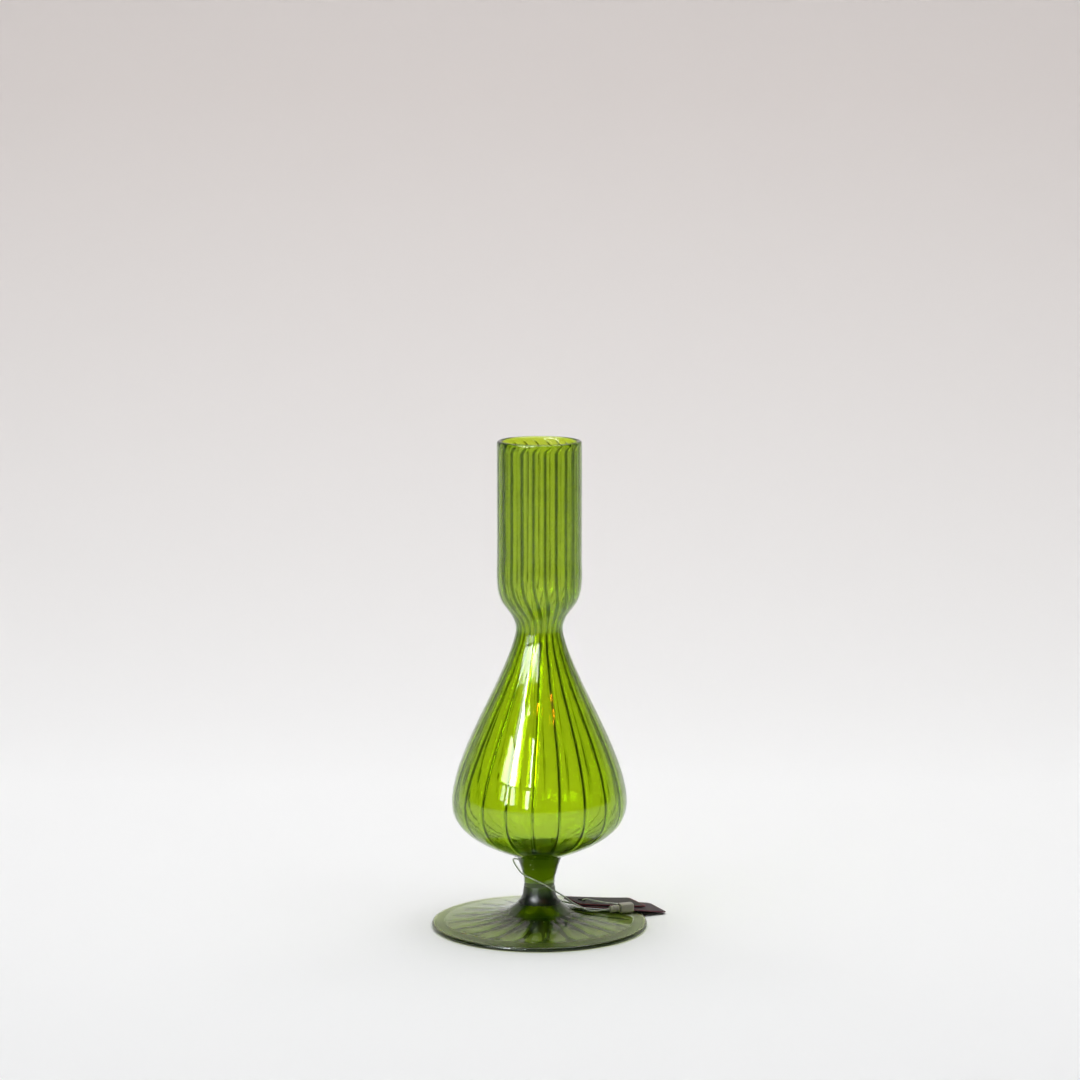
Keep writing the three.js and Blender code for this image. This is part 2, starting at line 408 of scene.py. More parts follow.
@dataclass(frozen=True)
class GreenGlass:
    """Clear glass coloured in the mass.

    Attributes:
        name: The material's name.
        tint: The absorption's colour.
        density: How fast what the tint lacks is absorbed, per metre.
        painted_shade_and_frost: The surface's tint where the "rib" attribute is 1. On the body that is a
            painted shade: a dark
        line along each rib's ridge, standing in for the dark that refraction makes there. On the foot it is
        the frosted glass's tint.
        draw: The depth of the fine lines that drawing and blowing leave along the surface, in metres.
        wave: The depth of the slow waves that hot working leaves, in metres.
        frost: The roughness where the "rib" attribute is 1.
        shine: The share of the surface's reflection, where 0.5 is the whole of it.
        wave_scale: How many slow waves there are to a metre.
        draw_scale: How many drawn lines there are to a unit of the texture place.
    """

    name: str
    tint: tuple[float, float, float] = (0.84, 0.905, 0.06)
    density: float = 1850
    # Nearly black: the painted shade of the dark lines along the body's ribs.
    painted_shade_and_frost: tuple[float, float, float] = (0.0016, 0.003, 0.0008)
    draw: float = 0.000022
    wave: float = 0.00004
    frost: float = 0.0
    shine: float = 0.2
    wave_scale: float = 110
    draw_scale: float = 24

    def material(self) -> bpy.types.Material:
        """Make a smooth dielectric with drawn lines and slow waves, and an absorbing volume.

        Returns:
            The material.
        """
        shader = Shader(self.name)
        waves = shader.bump(shader.noise(self.wave_scale, 1), self.wave)
        lines = shader.bump(shader.noise(self.draw_scale, 2, 0.6, shader.flow()), self.draw, waves)
        rib = shader.node("ShaderNodeAttribute", {"attribute_name": "rib"}, out="Fac")
        surface = shader.principled(
            # Where the "rib" attribute is 1, the base colour turns to a painted shade on the body, the dark
            # rib lines, and to the frosted tint on the foot.
            Base_Color=shader.mix(rib, (1, 1, 1), self.painted_shade_and_frost),
            Roughness=rib * self.frost if self.frost else 0.0,
            IOR=1.5,
            Specular_IOR_Level=self.shine,
            Transmission_Weight=1.0,
            Normal=lines,
        )
        tint = (*self.tint, 1)
        volume = shader.node("ShaderNodeVolumeAbsorption", {}, {"Color": tint, "Density": self.density})
        return shader.finish(surface, volume)


@dataclass(frozen=True)
class Nylon:
    """Moulded or drawn nylon: a satin skin with a little colour in it."""

    name: str
    colour: tuple[float, float, float]
    roughness: float
    grain: float
    mottle: float = 900
    shade: float = 0.8

    def material(self) -> bpy.types.Material:
        """Mottle the colour and the roughness, with a fine moulded grain.

        Returns:
            The material.
        """
        shader = Shader(self.name)
        mottle = shader.noise(self.mottle, 3)
        dark = tuple(c * self.shade for c in self.colour)
        return shader.finish(shader.principled(
            Base_Color=shader.mix(mottle, dark, self.colour),
            Roughness=self.roughness + 0.15 * mottle,
            Coat_Weight=0.25,
            Coat_Roughness=0.2,
            Normal=shader.bump(shader.noise(6000, 2), self.grain),
        ))


@dataclass(frozen=True)
class CoatedCard:
    """Printed card with a satin coat, and its cut edges.

    Attributes:
        name: The material's name.
        fibre: How many paper fibres there are to a metre.
        cloud: How many patches of colour there are to a metre.
        shade: How dark the darkest patch is, as a share of the faces' colour.
        relief: The depth of the fibres, in metres.
    """

    name: str
    face: tuple[float, float, float]
    edge: tuple[float, float, float]
    fibre: float = 2600
    cloud: float = 160
    shade: float = 0.75
    relief: float = 0.00002

    def material(self) -> bpy.types.Material:
        """Colour by the "rim" attribute, with paper fibre in colour, gloss and relief.

        Returns:
            The material.
        """
        shader = Shader(self.name)
        fibre = shader.noise(self.fibre, 4, 0.65)
        cloud = shader.noise(self.cloud, 2)
        dark = tuple(c * self.shade for c in self.face)
        face = shader.mix(0.6 * fibre + 0.4 * cloud, dark, self.face)
        rim = shader.node("ShaderNodeAttribute", {"attribute_name": "rim"}, out="Fac")
        return shader.finish(shader.principled(
            Base_Color=shader.mix(rim, face, self.edge),
            Roughness=0.5 + 0.2 * fibre,
            Specular_IOR_Level=0.25,
            Normal=shader.bump(fibre, self.relief),
        ))


@dataclass(frozen=True)
class PaleCove:
    """Matt paint for what the vase stands on and in front of: white below and warm grey above the rise, with
    a painted shade that darkens it upward between them.
    """

    name: str = "pale_cove"
    floor: tuple[float, float, float] = (0.90, 0.90, 0.90)
    # Darker than the floor: a painted shade, reached at the rise.
    wall: tuple[float, float, float] = (0.77, 0.705, 0.68)
    rise: float = 0.26
    painted_shade_climb: float = 0.6

    def material(self) -> bpy.types.Material:
        """Turn the floor's colour into the wall's by (height / rise) ^ climb: a painted shade that darkens
        the cove as it rises.

        Returns:
            The material.
        """
        shader = Shader(self.name)
        height = shader.node("ShaderNodeSeparateXYZ", {}, {0: shader.place()}, "Z")
        # The painted shade: the share of the wall's darker colour grows with height.
        share = shader.node("ShaderNodeClamp", {}, {0: height * (1 / self.rise)}) ** self.painted_shade_climb
        colour = shader.mix(share, self.floor, self.wall)
        return shader.finish(shader.principled(Base_Color=colour, Roughness=0.9))


# ---- the thread and its lock


@dataclass
class ThreadLoop:
    """A nylon thread round the stem and through the cards, closed by a push-in lock.

    Attributes:
        route: The points that the thread runs through, in millimetres in the model's frame.
        length: The thread's length, measured when it is made.
        round_r: The radius of the block's outer edges at its ends.
        corner_power: The power that rounds the block's long corners.
        plug_ends: Where the collar starts and ends and where the nose ends, along the lock.
        grooves: The middles of the collar's grip grooves, in millimetres along the lock.
        turn: How far the lock lies turned about Z, in radians.
    """

    thick: float = 0.5 * MM
    route: tuple = (
        (22.65, 3.75, 4.35), (20.6, 2.85, 4.3), (18.3, 1.6, 4.3), (16.0, 0.3, 4.8), (13.6, -1.2, 6.2),
        (11.1, -2.7, 8.0), (8.6, -4.2, 10.1), (6.2, -5.3, 11.9), (3.8, -5.9, 13.5), (1.2, -5.8, 15.1),
        (-1.5, -5.5, 16.3), (-4.1, -4.3, 17.2), (-5.9, -1.7, 17.8), (-7.0, 1.0, 18.6), (-8.2, 3.8, 19.8),
        (-8.4, 6.8, 20.3), (-6.6, 9.6, 19.5), (-3.6, 11.4, 17.2), (-0.6, 12.4, 14.1), (1.8, 12.8, 10.8),
        (3.7, 12.8, 7.8), (5.5, 12.5, 5.7), (7.4, 11.9, 4.95), (9.3, 11.2, 4.7), (11.0, 10.5, 4.5),
        (12.4, 10.0, 4.35), (13.35, 9.75, 4.5), (13.85, 9.5, 5.3), (14.3, 9.25, 6.1), (15.4, 8.8, 6.4),
        (17.2, 8.4, 6.15), (19.6, 8.1, 5.75), (22.2, 8.2, 5.35), (24.6, 8.6, 4.95), (26.3, 8.75, 4.65),
        (27.45, 8.0, 4.4),
    )
    steps: int = 240
    length: float = 0.0
    block_length: float = 4.5 * MM
    block_width: float = 3.4 * MM
    block_height: float = 3.0 * MM
    bore_r: float = 1.0 * MM
    round_r: float = 0.5 * MM
    corner_power: int = 5
    collar_r: float = 1.15 * MM
    nose_r: float = 0.7 * MM
    plug_ends: tuple = (-3.4 * MM, -0.3 * MM, 2.9 * MM)
    grooves: tuple = (-2.6, -1.1)
    groove_depth: float = 0.16 * MM
    groove_width: float = 0.28 * MM
    turn: float = math.radians(23)

    def thread(self) -> bpy.types.Object:
        """Run a round curve through the route's points.

        Returns:
            The thread.
        """
        line = smooth_curve(np.array(self.route) * MM, self.steps)
        data = bpy.data.curves.new("nylon_thread", "CURVE")
        data.dimensions, data.bevel_depth, data.bevel_resolution = "3D", self.thick / 2, 3
        data.use_fill_caps = True
        spline = data.splines.new("POLY")
        spline.points.add(len(line) - 1)
        spline.points.foreach_set("co", np.hstack([line, np.ones((len(line), 1))]).ravel())
        self.length = float(np.linalg.norm(np.diff(line, axis=0), axis=1).sum())
        nylon = Nylon("clear_nylon", (0.80, 0.85, 0.74), 0.2, 0.000004)
        made = piece("nylon_thread", data, nylon.material())
        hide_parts("thread")
        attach(made, "thread_loop")
        return made

    def _put(self, local: np.ndarray) -> np.ndarray:
        """Lay points that run along X from the block's near face in the model's frame."""
        low, high = (np.array(corner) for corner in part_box("lock_block"))
        return (local - [self.block_length / 2, 0, 0]) @ about_z(self.turn).T + (low + high) / 2

    def block(self) -> bpy.types.Object:
        """Make the lock's block, a rounded box with a bore.

        Round the x axis, each row is a ring that lies between the bore, where the share is 0, and the
        outside, where it is 1. The outside is a box whose corners are rounded by the superellipse rule
        |y / a| ^ 5 + |z / b| ^ 5 = 1. At both ends the rings go round the edge and in to the bore, and they
        come back through it.

        Returns:
            The block.
        """
        angle, corner = np.linspace(0, TAU, 72, endpoint=False), self.corner_power
        cos, sin = np.cos(angle), np.sin(angle)
        power = (np.abs(cos) ** corner + np.abs(sin) ** corner) ** (-1 / corner)
        box = np.stack([power * cos * self.block_width / 2, power * sin * self.block_height / 2], 1)
        bore = self.bore_r * np.stack([cos, sin], axis=1)
        edge, length = self.round_r, self.block_length
        run = [(0.5 * edge, 0.0), (0.12 * edge, 0.12), (0, 0.3), (0, 0.68)]
        run += [(0.12 * edge, 0.86), (0.45 * edge, 0.96)]
        run += [(x, 1.0) for x in np.linspace(edge, length - edge, 8)]
        run += [(length - x, share) for x, share in reversed(run[:6])]
        run += [(x, 0.0) for x in np.linspace(length - edge, edge, 6)]
        run = np.array(run)
        ring = bore[None] + (box - bore)[None] * run[:, 1, None, None]
        grid = np.concatenate([np.broadcast_to(run[:, 0, None, None], (*ring.shape[:2], 1)), ring], axis=2)
        mesh = Surface(self._put(grid), ring=True).to_mesh("lock_shell", 70)
        nylon = Nylon("lock_nylon", (0.42, 0.39, 0.31), 0.42, 0.00001)
        made = piece("lock_shell", mesh, nylon.material())
        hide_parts("lock_block")
        return made

    def plug(self) -> bpy.types.Object:
        """Make the lock's plug, a turned collar with a nose that goes into the bore.

        Each groove takes depth exp(-((x - middle) / width) ^ 2) off the collar's radius.

        Returns:
            The plug.
        """
        collar, nose = self.collar_r, self.nose_r
        low, mid, high = self.plug_ends
        soft = 0.25 * MM
        body = np.linspace(low + soft, mid - soft, 40)
        off = (body[:, None] - np.array(self.grooves) * MM) / self.groove_width
        groove = self.groove_depth * np.exp(-(off**2)).sum(1)
        line = np.vstack([
            [(low, 0.0), (low, collar * 0.5)],
            arc((low + soft, collar - soft), soft, 180, 90, 6),
            np.stack([body, collar - groove], axis=1),
            arc((mid - soft, collar - soft), soft, 90, 0, 6),
            [(mid, nose + 0.05 * MM), (mid + 0.05 * MM, nose)],
            [(high - 0.5 * MM, nose), (high - 0.1 * MM, nose * 0.8), (high, nose * 0.5), (high, 0.0)],
        ])
        angle = np.linspace(0, -TAU, 40, endpoint=False)
        ring = line[:, None, 1] * np.cos(angle), line[:, None, 1] * np.sin(angle)
        grid = np.stack([np.broadcast_to(line[:, None, 0], ring[0].shape), *ring], axis=-1)
        mesh = Surface(self._put(grid[:, ::-1])).to_mesh("lock_pin", 40)
        nylon = Nylon("pin_nylon", (0.47, 0.44, 0.35), 0.38, 0.00001)
        made = piece("lock_pin", mesh, nylon.material())
        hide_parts("lock_plug")
        return made

    def build(self) -> None:
        """Make the thread, then the lock on it."""
        thread = self.thread()
        pieces = [self.block(), self.plug()]
        for made in pieces:
            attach(made, "thread_loop")


# ---- the cards


@dataclass
class ShopCard:
    """A blank card with rounded corners and a punched hole, that turns on the thread.

    Attributes:
        node: The model's card.
        joint: The joint it turns on, which gives its place.
        length: From one end to the other.
        width: From one long edge to the other.
        turn: How far it lies turned from the slope's own direction, in degrees.
        lift: How far its far end curls up.
        finish: Its coat.
        slope: How far the cards' axis tips from upright, in radians.
        azimuth: The direction in which the cards slope down, in radians.
        hole_in: How far the hole's middle is from the near end.
        cut_band: How near the edge a face shows the cut edge's colour.
    """

    node: str
    joint: str
    length: float
    width: float
    turn: float
    lift: float
    finish: CoatedCard
    slope: float = math.radians(9.06)
    azimuth: float = math.radians(23)
    hole_r: float = 1.4 * MM
    hole_in: float = 4 * MM
    corner: float = 1.2 * MM
    thick: float = 0.35 * MM
    steps: int = 240
    cut_band: float = 0.45 * MM

    def outline(self) -> np.ndarray:
        """Run round the cut edge anticlockwise, with its corners as quarter circles.

        Returns:
            The edge's points about the hole's middle, one a row.
        """
        r, half = self.corner, self.width / 2 - self.corner
        low, high = -self.hole_in + r, self.length - self.hole_in - r
        corners = [((high, half), 0), ((low, half), 90), ((low, -half), 180), ((high, -half), 270)]
        line = np.vstack([arc(middle, r, start, start + 90, 9) for middle, start in corners])
        return respaced(np.vstack([line, line[:1]]), self.steps + 1)[:-1]

    def grid(self) -> tuple[np.ndarray, np.ndarray]:
        """Work the card out as a ring: over the top from the hole to the edge, round it, and back below.

        A point is hole + (edge - hole) s along the ray from the hole's middle. The card curls by
        lift (x / length) ^ 3 (0.65 + 0.35 y / half the width).

        Returns:
            The points, rows by columns by 3, and the rim value, 1 on the cut edge and 0 on the faces.
        """
        edge = self.outline()
        way = edge / np.linalg.norm(edge, axis=1)[:, None]
        hole = way * self.hole_r
        soft = 0.02
        out = [0.0, 0.004, 0.02, 0.08, 0.2, 0.35, 0.5, 0.65, 0.8, 0.9, 0.955]
        out = np.array([*out, 1 - soft, 1 - soft / 4, 1.0])
        share = np.concatenate([out, out[::-1]])
        top = np.array([0.85, 1, 1, 1, 1, 1, 1, 1, 1, 1, 1, 1, 0.93, 0.75])
        height = np.concatenate([top, 1 - top[::-1]]) * self.thick
        flat = hole[None] + (edge - hole)[None] * share[:, None, None]
        x = np.clip(flat[..., 0] / (self.length - self.hole_in), 0, 1)
        y = flat[..., 1] / (self.width / 2)
        z = height[:, None] + self.lift * x**3 * (0.65 + 0.35 * y)
        side = np.abs(height / self.thick - 0.5) < 0.48
        gap = np.linalg.norm(edge[None] - flat, axis=2)
        rim = np.maximum(side[:, None] * 1.0, (gap < self.cut_band) * 1.0) * (share[:, None] > 0.5)
        return np.concatenate([flat, z[..., None]], axis=2), rim

    def build(self) -> None:
        """Make the card, turn it to its place and hang it on its body."""
        joint = next(j for j in frame["joints"] if j["name"] == self.joint)
        grid, rim = self.grid()
        cos, sin = math.cos(self.slope), math.sin(self.slope)
        tipped = about_z(self.azimuth) @ np.array([[cos, 0, sin], [0, 1, 0], [-sin, 0, cos]])
        turned_card = tipped @ about_z(math.radians(self.turn))
        middle = np.array(joint["pos_m"]) - tipped[:, 2] * self.thick / 2
        surface = Surface(grid[:, ::-1] @ turned_card.T + middle, ring=True)
        mesh = surface.to_mesh(self.node + "_face", 60)
        data = mesh.attributes.new("rim", "FLOAT", "POINT")
        data.data.foreach_set("value", rim[:, ::-1].astype(np.float32).ravel())
        made = piece(self.node + "_face", mesh, self.finish.material())
        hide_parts(self.node)
        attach(made, self.node)


# ---- the glass


@dataclass
class GlassPiece:
    """What the vase's three fused pieces share.

    Each is a closed solid, and a fused joint is an overlap of a few hundredths of a millimetre: the ray
    that enters one piece there leaves the other at once, so the joint bends no light.

    Attributes:
        node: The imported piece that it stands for.
        slot: Its own name and its slot's.
    """

    node: str = ""
    slot: str = ""
    ribs: int = 20
    rib_azimuth: float = math.radians(-81)
    finish: GreenGlass = GreenGlass("green_glass")

    @property
    def low(self) -> float:
        """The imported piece's lowest height."""
        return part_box(self.node)[0][2]

    @property
    def top(self) -> float:
        """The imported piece's greatest height."""
        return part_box(self.node)[1][2]

    def columns(self, per_rib: int, gather: float = 0.85) -> np.ndarray:
        """Angles round the vase in radians, drawn together at each rib until, at gather 1, they meet."""
        share = np.arange(self.ribs * per_rib) / per_rib
        return (share - gather * np.sin(TAU * share) / TAU) * TAU / self.ribs

    def off_rib(self, angle: np.ndarray, radius: np.ndarray) -> np.ndarray:
        """Measure how far each point of a grid is from the middle of its nearest rib.

        Args:
            angle: The columns' angles, in radians.
            radius: The rows' radii.

        Returns:
            The distance round the vase in metres, rows by columns.
        """
        pitch = TAU / self.ribs
        off = (angle + pitch / 2) % pitch - pitch / 2
        return off[None, :] * radius[:, None]

    def surface(self) -> Surface:
        """The closed surface, which each piece works out for itself."""
        raise NotImplementedError

    def build(self) -> None:
        """Make the piece and put it on the vase."""
        mesh = self.surface().to_mesh(self.slot)
        made = piece(self.slot, mesh, self.finish.material())
        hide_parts(self.node)
        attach(made, "vase")


@dataclass
class BlownBody(GlassPiece):
    """The belly, neck and cup, blown in one with ribs inside the wall.

    Attributes:
        lump: The height of the floor's lumps, where the gathered ribs run out.
        swell: How far the outside sinks between two ribs, halved.
        lean_at: Heights, in millimetres, and how far the ribs have turned at each, in degrees.
    """

    node: str = "ribbed_body"
    slot: str = "body_glass"
    cup_r: float = 13.55 * MM
    waist_r: float = 7.5 * MM
    waist_z: float = 98.2 * MM
    cup_base_z: float = 112.6 * MM
    belly_r: float = 28.25 * MM
    belly_z: float = 42 * MM
    stem_top_r: float = 7.3 * MM
    wall: float = 1.6 * MM
    floor: float = 1.8 * MM
    fullness: float = 2.65
    bowl_r: float = 12 * MM
    lump: float = 0.3 * MM
    rib_height: float = 0.6 * MM
    rib_width: float = 0.45 * MM
    # The width of the painted shade line along each rib.
    painted_shade_width: float = 0.25 * MM
    swell: float = 0.045 * MM
    lean_at: tuple = (
        (20, 42, 70, 80, 90, 94, 98, 101, 105, 109, 113, 155, 155.7, 156.3, 157),
        (5, 5, 8, 9.2, 12, 14, 16, 15, 9, 3, 0, 0, 1.5, 4.5, 9),
    )

    def outside(self) -> np.ndarray:
        """Draw the outer outline from the stem to the lip.

        The belly's underside is r0 + (R - r0) (1 - (1 - u) ^ fullness) for u up its height. The rest runs
        smoothly through a few points given as shares of the widths and heights around them.

        Returns:
            Radius and height, one point a row.
        """
        up = 1 - np.cos(np.linspace(0, math.pi / 2, 9))
        across = 1 - (1 - up) ** self.fullness
        belly = np.stack([
            self.stem_top_r + (self.belly_r - self.stem_top_r) * across,
            self.low + (self.belly_z - self.low) * up,
        ], axis=1)
        flank = np.array([
            (0.11, 0.952), (0.3, 0.776), (0.48, 0.556), (0.67, 0.306), (0.82, 0.13), (0.92, 0.036),
        ])
        flank = np.stack([
            self.waist_r + (self.belly_r - self.waist_r) * flank[:, 1],
            self.belly_z + (self.waist_z - self.belly_z) * flank[:, 0],
        ], axis=1)
        under = np.array([(0.2, 0.157), (0.38, 0.446), (0.56, 0.757), (0.74, 0.92)])
        under = np.stack([
            self.waist_r + (self.cup_r - self.waist_r) * under[:, 1],
            self.waist_z + (self.cup_base_z - self.waist_z) * under[:, 0],
        ], axis=1)
        wall = [(self.cup_r, z) for z in (self.cup_base_z, self.cup_base_z + 8 * MM, self.top - 6 * MM)]
        line = smooth_curve(np.vstack([belly, flank, [(self.waist_r, self.waist_z)], under, wall]), 112)
        end = self.cup_r, self.top - self.wall / 2
        return np.vstack([line[:-1], straight(line[-1], end, 13), end])

    def lean(self, z: np.ndarray) -> np.ndarray:
        """How far the ribs have turned at a height, in radians."""
        heights, degrees = (np.array(row, float) for row in self.lean_at)
        return np.radians(np.interp(z, heights * MM, degrees))

    def uneven(self, z: np.ndarray, angle: np.ndarray) -> np.ndarray:
        """Space the ribs unevenly, as the glass stretched when it was blown.

        With t the angle from the front, the belly's ribs are off by 3 sin(t - 10) degrees, and the cup's
        by -4 (1 - cos t).

        Args:
            z: The rows' heights.
            angle: The columns' angles, in radians.

        Returns:
            How far each point is off, in radians, rows by columns.
        """
        front = angle[None, :] + self.rib_azimuth + math.pi / 2
        cup = ease(z, self.waist_z, self.cup_base_z)[:, None]
        belly = 3 * np.sin(front - math.radians(10))
        return np.radians(belly * (1 - cup) - 4 * (1 - np.cos(front)) * cup)

    def inside(self, outside: np.ndarray) -> tuple[np.ndarray, np.ndarray]:
        """Set the wall's inner outline off from the outer one, down to where the bowl starts.

        Args:
            outside: The outer outline.

        Returns:
            The inner outline from the lip down, and the way that its ribs stand at each point.
        """
        inward = left_normals(outside)
        line, push = (outside + inward * self.wall)[::-1], inward[::-1]
        keep = (line[:, 0] > self.bowl_r) | (line[:, 1] > self.belly_z)
        return line[keep], push[keep]

    def bowl(self, inside: np.ndarray, across: np.ndarray) -> np.ndarray:
        """Round the hollow's floor off, from the wall to the axis.

        The height is floor + rise u ^ k for u out from the axis, and k meets the slope of the wall.

        Args:
            inside: The inner outline, whose last point the floor starts from.
            across: The points' shares of the way out from the axis.

        Returns:
            Radius and height, one point a row.
        """
        start, slope = inside[-1], np.divide(*(inside[-2] - inside[-1])[::-1])
        floor_z = self.low + self.floor
        rise = start[1] - floor_z
        u = across[:, None]
        return np.hstack([start[0] * u, floor_z + rise * u ** (slope * start[0] / rise)])

    def surface(self) -> Surface:
        """Make one closed skin: out below, up the outside, over the lip, down the inside, in over the floor.

        A rib stands height exp(-(off / width) ^ 2) into the hollow, and the painted shade, a dark line along
        its ridge, is marked by exp(-(off / shade width) ^ 4). Between ribs, the outside sinks by swell (1 -
        cos(ribs t)).

        Returns:
            The skin, with the painted shade along the ribs' ridges marked.
        """
        outside = self.outside()
        inside, push = self.inside(outside)
        half = self.wall / 2
        lip = arc((self.cup_r - half, outside[-1, 1]), half, 0, 180, 11)[1:-1]
        across = np.linspace(1, 0, 16)[1:]
        floor = self.bowl(inside, across)
        bottom = straight((0, self.low), (self.stem_top_r, self.low), 3)
        line = np.vstack([bottom, outside, lip, inside, floor])
        r, z = line[:, 0], line[:, 1]
        out, first = len(bottom), len(bottom) + len(outside) + len(lip)
        lumps = np.zeros(len(line))
        lumps[-len(floor):] = self.lump * np.sin(math.pi * across)
        direction = np.zeros_like(line)
        direction[first: first + len(inside)] = push
        amount = self.rib_height * (1 - ease(z, self.top - 1.7 * MM, self.top - 1.0 * MM))
        amount *= ease(r, 3 * MM, 7 * MM) * (0.4 + 0.6 * ease(z, 30 * MM, 44 * MM))
        angle = self.columns(18)
        off = self.off_rib(angle, np.maximum(r, 4 * MM))
        raised = np.exp(-((off / self.rib_width) ** 2)) * amount[:, None]
        # The painted shade: a dark line along each rib's ridge, on the inside of the wall only, fading out
        # below the belly's middle.
        painted_shade_width = self.painted_shade_width * (1 + 0.25 * ease(z, self.waist_z, self.cup_base_z))
        painted_shade_and_frost = np.exp(-((off / painted_shade_width[:, None]) ** 4)) * (amount / self.rib_height)[:, None]
        painted_shade_and_frost *= np.linalg.norm(direction, axis=1)[:, None] * ease(z, 32 * MM, 46 * MM)[:, None]
        grid = line[:, None, :] + raised[..., None] * direction[:, None, :]
        swell = np.zeros(len(line))
        swell[out: out + len(outside)] = self.swell * ease(outside[:, 1], 24 * MM, 50 * MM)
        swell *= 1 - ease(z, self.waist_z - 4 * MM, self.waist_z + 4 * MM)
        grid[..., 0] -= swell[:, None] * (1 - np.cos(self.ribs * angle))
        waves = np.cos(3 * angle + 1) + np.cos(7 * angle) + 0.6 * np.cos(13 * angle)
        grid[..., 1] += lumps[:, None] * waves
        azimuth = self.rib_azimuth + self.lean(z)[:, None] + angle[None, :] + self.uneven(z, angle)
        return Surface(turned(grid, azimuth), flow=drawn_flow(z, angle), rib=painted_shade_and_frost)


@dataclass
class SolidStem(GlassPiece):
    """The short solid stem, widening upwards into the belly.

    It runs into the piece at each end by the overlap.
    """

    node: str = "stem"
    slot: str = "stem_glass"
    finish: GreenGlass = GreenGlass("dark_green_glass", (0.84, 0.88, 0.06), 1650)
    low_r: float = 4.95 * MM
    top_r: float = 7.3 * MM
    overlap: float = 0.03 * MM

    def surface(self) -> Surface:
        """Turn a flank that runs smoothly through shares of the stem's width and height.

        Returns:
            The solid.
        """
        shape = np.array([(0, 0), (0.25, 0.02), (0.5, 0.3), (0.65, 0.48), (0.8, 0.72), (1, 1)])
        low, top = self.low - self.overlap, self.top + self.overlap
        flank = smooth_curve(np.stack([
            self.low_r + (self.top_r - self.low_r) * shape[:, 1],
            low + (top - low) * shape[:, 0],
        ], axis=1), 40)
        lid = straight((self.top_r, top), (0, top), 4)[1:]
        line = np.vstack([straight((0, low), (self.low_r, low), 4), flank, lid, [(0, top)]])
        angle = np.linspace(0, TAU, 160, endpoint=False)
        around = angle[None, :] + 0 * line[:, :1]
        return Surface(turned(line[:, None, :], around), flow=drawn_flow(line[:, 1], angle))


@dataclass
class PressedFoot(GlassPiece):
    """The spread foot: a flared top, a round rim, and a hollow ribbed underside above its resting ring."""

    node: str = "ribbed_foot"
    slot: str = "foot_glass"
    stem_r: float = 4.95 * MM
    foot_r: float = 34.9 * MM
    edge: float = 1.5 * MM
    hollow: float = 1.2 * MM
    rest: float = 4.2 * MM
    rib_height: float = 0.4 * MM
    top_rib: float = 0.08 * MM
    rib_width: float = 0.9 * MM
    lean: float = -6
    finish: GreenGlass = GreenGlass(
        "pale_green_glass", (0.7, 0.78, 0.2), 700, (0.9, 0.93, 0.8), frost=0.3, shine=0.5
    )

    def surface(self) -> Surface:
        """Run out along the underside, round the rim and up the flare, with ribs below and fainter above.

        A rib stands height exp(-(off / width) ^ 2) out of the glass.

        Returns:
            The solid. The frosting's mark covers its underside, and its top near the stem and the rim.
        """
        half, rim = self.edge / 2, self.foot_r - self.edge / 2
        below = np.array([(0.12, 1), (0.3, 0.985), (0.58, 0.8), (0.8, 0.35), (0.93, 0.06)])
        ring = rim - self.rest
        under = [(0.001 * MM, self.hollow)] + [(ring * out, self.hollow * up) for out, up in below]
        under = smooth_curve(np.array([*under, (ring, 0.0), (ring + self.rest * 0.5, 0.0), (rim, 0.0)]), 70)
        under[:, 1] = np.maximum(under[:, 1], 0)
        edge = arc((rim, half), half, -90, 90, 13)[1:-1]
        flare = np.array([
            (0.86, 0.045), (0.68, 0.095), (0.5, 0.155), (0.34, 0.215), (0.2, 0.31), (0.1, 0.47), (0.03, 0.67),
        ])
        tall = self.top - self.edge
        flare = [(self.stem_r + (rim - self.stem_r) * out, self.edge + tall * up) for out, up in flare]
        flare = smooth_curve(np.array([(rim, self.edge), *flare, (self.stem_r, self.top)]), 90)
        lid = straight((self.stem_r, self.top), (0, self.top), 4)[1:]
        line = np.vstack([[(0, self.hollow)], under, edge, flare, lid, [(0, self.top)]])
        lift = np.zeros(len(line))
        r = line[:, 0]
        lift[1: 1 + len(under)] = -self.rib_height
        lift[1 + len(under) + len(edge):][: len(flare)] = self.top_rib
        lift *= ease(r, 7 * MM, 11 * MM) * (1 - ease(r, 26.5 * MM, 30.5 * MM))
        angle = self.columns(14, 0.6)
        off = self.off_rib(angle, np.maximum(r, 5 * MM))
        raised = np.exp(-((off / self.rib_width) ** 2)) * lift[:, None]
        frosted = ((r < rim) & (lift <= 0))[:, None] * np.ones(raised.shape)
        height = np.maximum(line[:, None, 1] + raised, 0)
        grid = np.stack([np.broadcast_to(r[:, None], height.shape), height], axis=-1)
        turn = np.radians(self.lean) * ease(r, 5 * MM, 34 * MM)
        azimuth = self.rib_azimuth + angle[None, :] + turn[:, None]
        return Surface(turned(grid, azimuth), flow=drawn_flow(r, angle), rib=frosted)


# ---- the room


class Pane(Enum):
    """The window's panes: azimuth from and to, elevation from and to, in degrees, and radiance."""

    OUTER = (43, 61, 20, 33, 9.0)
    INNER = (31, 42, 20, 40, 20.0)
    OUTER_TOP = (40, 52, 34, 44, 5.0)
    INNER_TOP = (27, 38, 40.4, 48, 20.0)
    NARROW = (13, 18, 21, 38, 16.0)
    SLIT = (-11.3, -9.8, 43.3, 46, 26.0)
    FOOT_A = (50, 57, 8, 18, 6.0)
    FOOT_B = (41, 46, 5, 19, 10.0)
    FOOT_C = (31, 36, 7, 19, 9.0)
    FOOT_D = (16, 22, 4, 18, 11.0)


